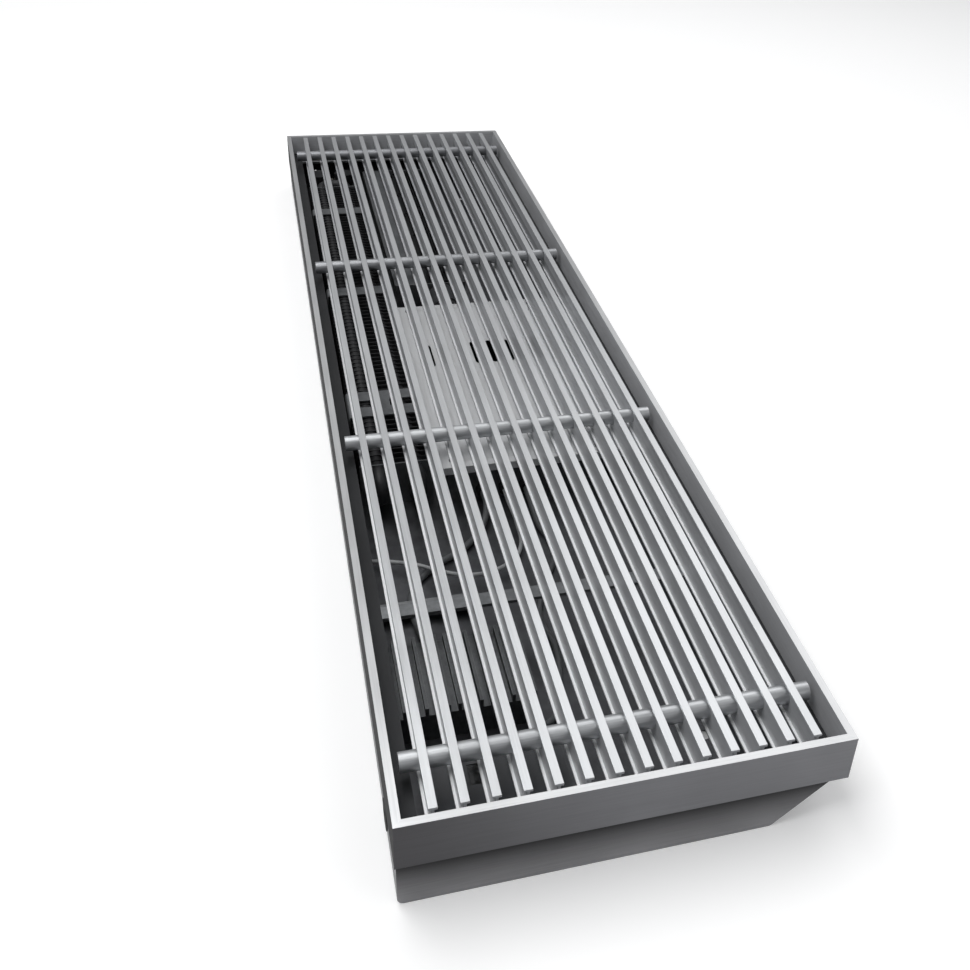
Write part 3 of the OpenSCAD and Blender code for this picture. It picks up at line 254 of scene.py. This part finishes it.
def spot(material):
    """The place of a point on the heater, as the X, Y and Z of a node, in metres."""
    place = add_node(material, "ShaderNodeTexCoord")
    return add_node(material, "ShaderNodeSeparateXYZ", {}, {0: (place, "Object")})


def upward_mask(material, operation="GREATER_THAN"):
    """1 on the faces that look up, or with LESS_THAN on all others, and 0 elsewhere."""
    level = 0.7
    surface = add_node(material, "ShaderNodeNewGeometry")
    split = add_node(material, "ShaderNodeSeparateXYZ", {}, {0: (surface, "True Normal")})
    return add_node(material, "ShaderNodeMath", {1: level}, {0: (split, "Z")}, operation=operation)


def outward_mask(material):
    """1 on the upright faces that look away from the middle of the heater."""
    clear_of_middle = 0.01
    surface = add_node(material, "ShaderNodeNewGeometry")
    place = add_node(material, "ShaderNodeTexCoord")
    flat = add_node(material, "ShaderNodeVectorMath", {1: (1, 1, 0)}, {0: (place, "Object")},
                    operation="MULTIPLY")
    facing = add_node(material, "ShaderNodeVectorMath", {},
                      {0: (flat, "Vector"), 1: (surface, "True Normal")},
                      operation="DOT_PRODUCT")
    return add_node(material, "ShaderNodeMath", {1: clear_of_middle}, {0: (facing, "Value")},
                    operation="GREATER_THAN")


def dress(material, *nodes, ease=None):
    """Gives CAD nodes their material, and takes their sharp edges off over ease mm."""
    same_point = 0.00001
    sharp_edge = math.radians(50)
    for node in nodes:
        piece = frame["nodes"][node]
        for holder in piece.material_slots:
            holder.material = material
        if ease:
            weld = piece.modifiers.new("weld", "WELD")
            weld.merge_threshold = same_point
            bevel = piece.modifiers.new("eased_edges", "BEVEL")
            bevel.width = ease / 1000
            bevel.segments = 2
            bevel.limit_method = "ANGLE"
            bevel.angle_limit = sharp_edge
            bevel.harden_normals = True


along_x = (60, 1.1, 1.1)
along_y = (1.1, 60, 1.1)
left_shade_start, left_shade_end = 0.0, 0.16
# The outer tints are partly the darker rolled brushing and partly painted shade; the left one is
# all painted shade.
rail_finishes_and_shade = {"left": (along_x, "#2c2b2c", 0.0, 0.9), "right": (along_x, "#919193", 0.7, None),
                 "near": (along_y, "#919193", 0.7, None), "far": (along_y, "#919193", 0.7, None)}
for side, (grain, outer, outer_metallic, outer_roughness) in rail_finishes_and_shade.items():
    rail = metal(f"ground_stainless_flat_bar_{side}", "#c0c1c2", "#cfd0d1", roughness=0.32,
                 grain=grain, relief=0.006, gloss_spread=0.06)
    tint(rail, upward_mask(rail, "LESS_THAN"), "#f4f4f6", metallic=0.25)
    tint(rail, outward_mask(rail), outer, outer_metallic, outer_roughness)
    # Painted shade on the near rail: its outer face is darkened towards the left corner.
    if side == "near":
        left_shade_ramp = add_node(rail, "ShaderNodeMapRange",
                             {"From Min": left_shade_start, "From Max": left_shade_end},
                             {"Value": (spot(rail), "Y")})
        left_face_painted_shade = add_node(rail, "ShaderNodeMath", {},
                             {0: (left_shade_ramp, "Result"), 1: (outward_mask(rail), "Value")},
                             operation="MULTIPLY")
        tint(rail, left_face_painted_shade, "#908d8f")
    dress(rail, f"frame_rail_{side}")


# Trough: stainless sheet folded to the floor, the upright and the sloping wall, with the even satin
# grey of the mill. Its end plates are riveted in. They are brushed along their length, with painted
# shade that darkens them under the frame and fades out towards a paler foot.
trough_sheet = metal("mill_finish_stainless_sheet", "#56575a", "#6a6b6e", roughness=0.42,
                     grain=(12, 12, 12), relief=0.01, metallic=0.7)
dress(trough_sheet, "trough")
end_sheet = metal("mill_finish_end_plate", "#7c7c7e", "#8c8c8e", roughness=0.4,
                  grain=(1.1, 40, 1.1), relief=0.01, metallic=0.85)
# Painted shade: the end plates darken from the foot up to the frame.
pale_foot, dark_top = 0.004, 0.034
painted_shade_under_frame = add_node(end_sheet, "ShaderNodeMapRange",
                       {"From Min": pale_foot, "From Max": dark_top},
                       {"Value": (spot(end_sheet), "Z")})
tint(end_sheet, painted_shade_under_frame, "#4a494b")
dress(end_sheet, "near_end_plate", "far_end_plate", ease=0.3)


# Ledges: steel angles with a dull dark phosphate coat, which stand on the trough's flanges inside
# the frame and carry the grille. Their near-black colour is partly painted shade for the dark
# inside the frame. The two flat braces between them are zinc-plated strip and show as pale bars.
# Painted shade in part: the ledges are coloured near black for the dark inside the frame.
ledge_phosphate_and_shade = metal("phosphated_steel_angle_and_shade", "#28292b", "#323335", roughness=0.55,
                    grain=(5, 5, 5), relief=0.01, metallic=0.4, worn="#5c5d5f", wear=0.6)
dress(ledge_phosphate_and_shade, "ledge_angle_left", "ledge_angle_right", "ledge_angle_near",
      "ledge_angle_far")
zinc_plate = metal("zinc_plated_sheet_steel", "#797b7d", "#919395", roughness=0.42,
                   grain=(6, 6, 6), relief=0.01, metallic=0.8)
dress(zinc_plate, "cross_brace_near", "cross_brace_far", ease=0.3)


# Grille: I-section bars of stainless steel, drawn to shape and ground along their length. The top
# flange is the brightest. The foot flange keeps the smooth skin of the drawing die and catches the
# light between the bars; towards the far end it is darkened by painted shade. The webs stay a plain
# mill grey.
bar_steel = metal("ground_stainless_section", "#ecedee", "#f9fafb", roughness=0.33, grain=along_x,
                  relief=0.006, gloss_spread=0.06)
tint(bar_steel, upward_mask(bar_steel, "LESS_THAN"), "#cbccce", metallic=0.2)
half_way_up = 0.06
foot_shade_start, foot_shade_end = -0.3, 0.4
on_bar = spot(bar_steel)
foot = add_node(bar_steel, "ShaderNodeMath", {1: half_way_up}, {0: (on_bar, "Z")},
                operation="LESS_THAN")
crown = add_node(bar_steel, "ShaderNodeMath", {1: half_way_up}, {0: (on_bar, "Z")},
                 operation="GREATER_THAN")
for level, colour, metallic in ((foot, "#ffffff", 0.0), (crown, "#d2d3d4", 1.0)):
    flat = add_node(bar_steel, "ShaderNodeMath", {},
                    {0: (level, "Value"), 1: (upward_mask(bar_steel), "Value")},
                    operation="MULTIPLY")
    tint(bar_steel, flat, colour, metallic)
far_part = add_node(bar_steel, "ShaderNodeMapRange",
                    {"From Min": foot_shade_start, "From Max": foot_shade_end}, {"Value": (on_bar, "X")})
far_foot_painted_shade = add_node(bar_steel, "ShaderNodeMath", {}, {0: (foot, "Value"), 1: (far_part, "Result")},
                    operation="MULTIPLY")
# Painted shade: the foot flanges darken towards the far end.
tint(bar_steel, far_foot_painted_shade, "#b4b5b7")
dress(bar_steel, "grille_bars", ease=0.3)


# Rods: four steel tie rods through the bars, with drawn stainless tubes threaded on them as
# spacers, darkened towards the far end by painted shade, and a socket-headed round nut sunk in each
# end tube. The screws and rivets of the heater are of the same bright steel as the rods and nuts.
tube_steel = metal("drawn_stainless_tube", "#b4b6b8", "#cbcdcf", roughness=0.36, grain=along_y,
                   relief=0.01, metallic=0.8)
dim_start, dim_end = -0.2, 0.4
far_rods_painted_shade = add_node(tube_steel, "ShaderNodeMapRange",
                    {"From Min": dim_start, "From Max": dim_end},
                    {"Value": (spot(tube_steel), "X")})
# Painted shade: the spacer tubes darken towards the far end.
tint(tube_steel, far_rods_painted_shade, "#bcbcbe")
dress(tube_steel, "spacer_tubes", "end_spacers")
bright_steel = metal("turned_bright_steel", "#8b8c8e", "#a8a9ab", roughness=0.3, grain=(2, 2, 2),
                     relief=0.01)
dress(bright_steel, "tie_rods", "rod_end_nuts", "fixing_screws", "end_plate_rivets")


# Coil: aluminium fins pressed on copper tubes with brazed return bends, all dipped in one dull
# dark lacquer, so that neither metal shows its colour and only the fins' rims are paler.
coil_coat = metal("dipped_dark_coil_lacquer", "#2e2e30", "#3b3b3d", roughness=0.5,
                  grain=(3, 3, 3), relief=0.01, metallic=0.2, worn="#58595b", wear=0.4, rub=0.4)
dress(coil_coat, "coil_fins", "coil_tubes", "return_bends")


# Sheet parts in the trough: the coil's end plates and straps, the blower's guide, tongue and
# brackets, and the control box's pan. They are zinc-plated steel, sheared, folded and held by studs
# and screws, and painted greyer than the braces as shade, since they lie deep. The clamp bar is a
# brighter zinc.
# Painted shade: the deep sheet parts are coloured darker than the braces.
deep_zinc_painted_shade = metal("dull_zinc_plated_sheet", "#66686a", "#7c7e80", roughness=0.5, grain=(6, 6, 6),
                  relief=0.01, metallic=0.7)
dress(deep_zinc_painted_shade, "coil_end_plates", "coil_straps", "slotted_strap", "blower_guide",
      "blower_tongue", "motor_bracket", "bearing_bracket", "control_box")
clamp_zinc = metal("bright_zinc_clamp", "#8d8f91", "#a3a5a7", roughness=0.42, grain=(6, 6, 6),
                   relief=0.01, metallic=0.6)
dress(clamp_zinc, "strain_relief_bar")


# Valves: cast brass bodies plated with nickel, which gives them a warm satin grey, with turned
# brass union nuts that stay yellow, a bright turned pin and near-black caps of moulded polyamide.
# Beside them is a small plated air vent with its screw.
nickel = metal("nickel_plated_brass", "#9f9b8e", "#bcb8aa", roughness=0.3, grain=(3, 3, 3),
               relief=0.01)
dress(nickel, "regulating_valve", "lockshield_valve", "air_vent")
brass = metal("turned_brass", "#a98c4f", "#c4a766", roughness=0.3, grain=(0.8, 8, 8), relief=0.01)
dress(brass, "union_nuts")
dress(bright_steel, "valve_pin", "vent_screw")


def moulding(name, low, high, roughness, pit=0.8, worn=None):
    """A moulded, coated or extruded finish, with fine pitting pit mm wide and rubbed edges."""
    return metal(name, low, high, roughness, grain=(pit, pit, pit), relief=0.02, metallic=0.0,
                 worn=worn or high, wear=0.6)


dark_plastic = moulding("moulded_dark_polyamide", "#232425", "#2e2f31", roughness=0.45,
                        worn="#55565a")
dress(dark_plastic, "valve_cap", "lockshield_cap")


# Blower: a moulded near-black cross-flow wheel on turned steel stubs, driven by a small motor in
# satin dark paint, like the transformer's, and carried by a bush in a ring of dull black rubber.
# The grommets and bushes of the cables are of the same rubber.
dress(dark_plastic, "blower_wheel")
dress(bright_steel, "wheel_shafts")
dress(brass, "bearing_bush")
rubber = moulding("moulded_black_rubber", "#161617", "#202021", roughness=0.7)
dress(rubber, "cable_grommet", "bearing_rubber", "wheel_damper", "lead_bushes")
motor_paint = moulding("satin_painted_motor_can", "#3a3b3d", "#47484a", roughness=0.4,
                       worn="#8a8b8d")
dress(motor_paint, "blower_motor", "transformer")


# Control box: over its zinc-plated pan lies a lid of satin steel sheet, pale silver with faint
# lines lengthwise, punched with seven cooling slots and screwed down. The board inside is glass
# fibre under a glossy green coat.
cover_sheet = metal("satin_steel_sheet", "#dcddde", "#e6e7e8", roughness=0.42, grain=(40, 2, 2),
                    relief=0.008, metallic=0.15)
dress(cover_sheet, "cover_plate", ease=0.3)
board = moulding("coated_glass_fibre_board", "#1f3a2a", "#2a4a36", roughness=0.35)
dress(board, "circuit_board")


# Near compartment: a moulded grey terminal box, whose screwed-on lid has a clear window that is a
# little hazy from handling, and a ribbed power supply of dull cast aluminium.
grey_plastic = moulding("moulded_grey_polycarbonate", "#4a4c4f", "#56585c", roughness=0.45,
                        worn="#84868a")
dress(grey_plastic, "terminal_box", "terminal_box_lid", "control_terminals")
pale_plastic = moulding("moulded_pale_polyamide", "#a9a9a6", "#b9b9b5", roughness=0.45)
dress(pale_plastic, "mains_terminals")
supply_case = metal("cast_aluminium_case", "#5f6163", "#77797b", roughness=0.5, grain=(4, 4, 4),
                    relief=0.03, metallic=0.8)
dress(supply_case, "power_supply")
refraction = 1.58
haze_mm = 10 / 3
least_haze, most_haze = 0.05, 0.3
clear = bpy.data.materials.new("clear_polycarbonate")
clear.use_nodes = True
clear_shader = clear.node_tree.nodes["Principled BSDF"]
clear_shader.inputs["Transmission Weight"].default_value = 1.0
clear_shader.inputs["IOR"].default_value = refraction
place = add_node(clear, "ShaderNodeTexCoord")
haze = add_node(clear, "ShaderNodeTexNoise", {"Scale": 1000 / haze_mm, "Detail": 2.0},
                {"Vector": (place, "Object")})
cloudy = add_node(clear, "ShaderNodeMapRange", {"To Min": least_haze, "To Max": most_haze},
                  {"Value": (haze, "Fac")})
smoky = add_node(clear, "ShaderNodeMix", {6: linear("#c4c9cc"), 7: linear("#dde1e4")},
                 {0: (haze, "Fac")}, data_type="RGBA")
clear.node_tree.links.new(cloudy.outputs["Result"], clear_shader.inputs["Roughness"])
clear.node_tree.links.new(smoky.outputs[2], clear_shader.inputs["Base Color"])
dress(clear, "terminal_window")


# Pipe seals: two dull black grommets of moulded rubber in the far end plate's pipe openings, in
# line with the tails of the valves. A thin web closes each but for a small hole, which the fitter
# cuts to the pipe, and a lip lies on the plate's inner face. Sizes are in metres.
opening_radius, seal_gap, hole_radius, lip_radius = 0.015, 0.0002, 0.004, 0.0168
web_half, lip_depth, collar = 0.0005, 0.0018, 0.003
trough_inset, sheet_thickness = 0.001, 0.0015
plate_inner = round(cad_box[1].x, 6) - trough_inset - sheet_thickness
pipe_centres = [mount["pos_m"][1:] for mount in frame["record"]["mounts"]
                if mount["name"] in ("supply_tail", "return_tail")]

seal_mesh = bmesh.new()
for middle_y, seal_height in pipe_centres:
    centre = Vector((plate_inner, middle_y, seal_height))
    outline = ((hole_radius, web_half), (hole_radius, -web_half),
               (opening_radius - collar, -web_half), (opening_radius - collar, -lip_depth),
               (lip_radius, -lip_depth), (lip_radius, -seal_gap),
               (opening_radius - seal_gap, -seal_gap), (opening_radius - seal_gap, web_half))
    profile = [seal_mesh.verts.new(centre + Vector((along, 0, radius)))
               for radius, along in outline]
    edges = [seal_mesh.edges.new((profile[i - 1], profile[i])) for i in range(len(profile))]
    bmesh.ops.spin(seal_mesh, geom=profile + edges, cent=centre, axis=(1, 0, 0),
                   angle=2 * math.pi, steps=64, use_merge=True)
bmesh.ops.recalc_face_normals(seal_mesh, faces=seal_mesh.faces)
seal_data = bpy.data.meshes.new("pipe_seals")
seal_mesh.to_mesh(seal_data)
seal_mesh.free()
seal_data.materials.append(rubber)
pipe_seals = bpy.data.objects.new("pipe_seals", seal_data)
bpy.context.scene.collection.objects.link(pipe_seals)
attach(pipe_seals, "casing")


# Leads: three flexible leads in extruded PVC with a soft sheen, loose on the trough's floor. The
# grey supply and signal leads run straight out of their rubber bushes, drop, and wander across to
# the control box. The thin pale earth lead comes out of a tinned copper ring tag on a stud.
heater_length = round((cad_box[1].x - cad_box[0].x) * 1000)
heater_width = round((cad_box[1].y - cad_box[0].y) * 1000)


def in_heater(distance, across, height):
    """A point from mm: distance from the near end, distance from the left side, and height."""
    return Vector((distance - heater_length / 2, heater_width / 2 - across, height)) / 1000


def sheathed_lead(name, node, route, diameter, sheath):
    """A round lead, diameter in mm, through the points of a route given in mm. It takes the place
    of a CAD node."""
    line = bpy.data.curves.new(name, "CURVE")
    line.dimensions = "3D"
    line.bevel_depth = diameter / 2000
    line.bevel_resolution = 5
    line.resolution_u = 8
    line.use_fill_caps = True
    spline = line.splines.new("BEZIER")
    spline.bezier_points.add(len(route) - 1)
    for point, stop in zip(spline.bezier_points, route):
        point.co = in_heater(*stop)
        point.handle_left_type = point.handle_right_type = "AUTO"
    line.materials.append(sheath)
    lead = bpy.data.objects.new(name, line)
    bpy.context.scene.collection.objects.link(lead)
    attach(lead, "casing")
    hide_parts(node)


tag_aside, ring_middle, barrel_start, tongue_start, tongue_end = 16, 344, 332, 337.2, 341
barrel_height, tongue_height = 4.2, 2.0
tag_centre = in_heater(ring_middle, tag_aside, 0)
barrel_centre = in_heater(barrel_start, tag_aside, barrel_height)
tongue_ends = (in_heater(tongue_start, tag_aside, tongue_height),
               in_heater(tongue_end, tag_aside, tongue_height))
tag_floor, tag_top, eye_radius, ring_radius = 0.0015, 0.0025, 0.00215, 0.005
bore_radius, barrel_radius, barrel_length, tongue_width = 0.0019, 0.0026, 0.006, 0.004

tag_mesh = bmesh.new()
ring = [tag_mesh.verts.new(tag_centre + Vector((radius, 0, height)))
        for radius, height in ((eye_radius, tag_floor), (ring_radius, tag_floor),
                               (ring_radius, tag_top), (eye_radius, tag_top))]
barrel = [tag_mesh.verts.new(barrel_centre + Vector((along, 0, radius)))
          for along, radius in ((0, bore_radius), (0, barrel_radius),
                                (barrel_length, barrel_radius), (barrel_length, bore_radius))]
for profile, centre, axis in ((ring, tag_centre, (0, 0, 1)), (barrel, barrel_centre, (1, 0, 0))):
    edges = [tag_mesh.edges.new((profile[i], profile[(i + 1) % 4])) for i in range(4)]
    bmesh.ops.spin(tag_mesh, geom=profile + edges, cent=centre, axis=axis, angle=2 * math.pi,
                   steps=40, use_merge=True)
tongue = bmesh.ops.create_cube(tag_mesh, size=1)["verts"]
tongue_size = (tongue_ends[1].x - tongue_ends[0].x, tongue_width, tag_top - tag_floor)
bmesh.ops.scale(tag_mesh, vec=tongue_size, verts=tongue)
bmesh.ops.translate(tag_mesh, vec=(tongue_ends[0] + tongue_ends[1]) / 2, verts=tongue)
bmesh.ops.recalc_face_normals(tag_mesh, faces=tag_mesh.faces)
tag_data = bpy.data.meshes.new("earth_tag")
tag_mesh.to_mesh(tag_data)
tag_mesh.free()
tin_plate = metal("tin_plated_copper_tag", "#a3a5a7", "#b9bbbd", roughness=0.35, grain=(3, 3, 3),
                  relief=0.01)
tag_data.materials.append(tin_plate)
earth_tag = bpy.data.objects.new("earth_tag", tag_data)
bpy.context.scene.collection.objects.link(earth_tag)
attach(earth_tag, "casing")
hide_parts("earth_lead")

grey_sheath = moulding("extruded_grey_pvc", "#6c6e70", "#7c7e80", roughness=0.42, pit=0.5)
pale_sheath = moulding("extruded_pale_pvc", "#c4c6c7", "#d4d6d7", roughness=0.4, pit=0.5)
supply_route = [
    (196, 50, 14), (204, 50, 14), (208, 50, 14), (220, 49, 10), (236, 48, 5), (254, 46, 4.8),
    (280, 50, 4.8), (305, 70, 4.8), (325, 100, 4.8), (350, 122, 8), (374, 130, 13.5),
    (386, 130, 14), (389, 130, 14), (397, 130, 14)]
signal_route = [
    (90, 108, 14), (98, 108, 14), (102, 108, 14), (111, 117, 9), (122, 131, 4.3),
    (150, 142, 4.3), (190, 150, 4.3), (230, 146, 4.3), (270, 162, 4.3), (310, 178, 4.3),
    (345, 172, 6), (372, 170, 13.5), (386, 170, 14), (389, 170, 14), (397, 170, 14)]
earth_route = [
    (337, 16, 4.2), (331, 16, 4.2), (327, 16, 4.2), (318, 30, 8), (304, 56, 11.5),
    (290, 78, 11.5), (282, 100, 11.5), (290, 130, 10), (312, 148, 8), (345, 152, 10),
    (374, 150, 13.5), (386, 150, 14), (389, 150, 14), (397, 150, 14)]
sheathed_lead("supply_flex", "supply_lead", supply_route, diameter=6,
              sheath=grey_sheath)
sheathed_lead("signal_flex", "signal_lead", signal_route, diameter=5,
              sheath=grey_sheath)
sheathed_lead("earth_flex", "earth_lead", earth_route, diameter=3.6,
              sheath=pale_sheath)
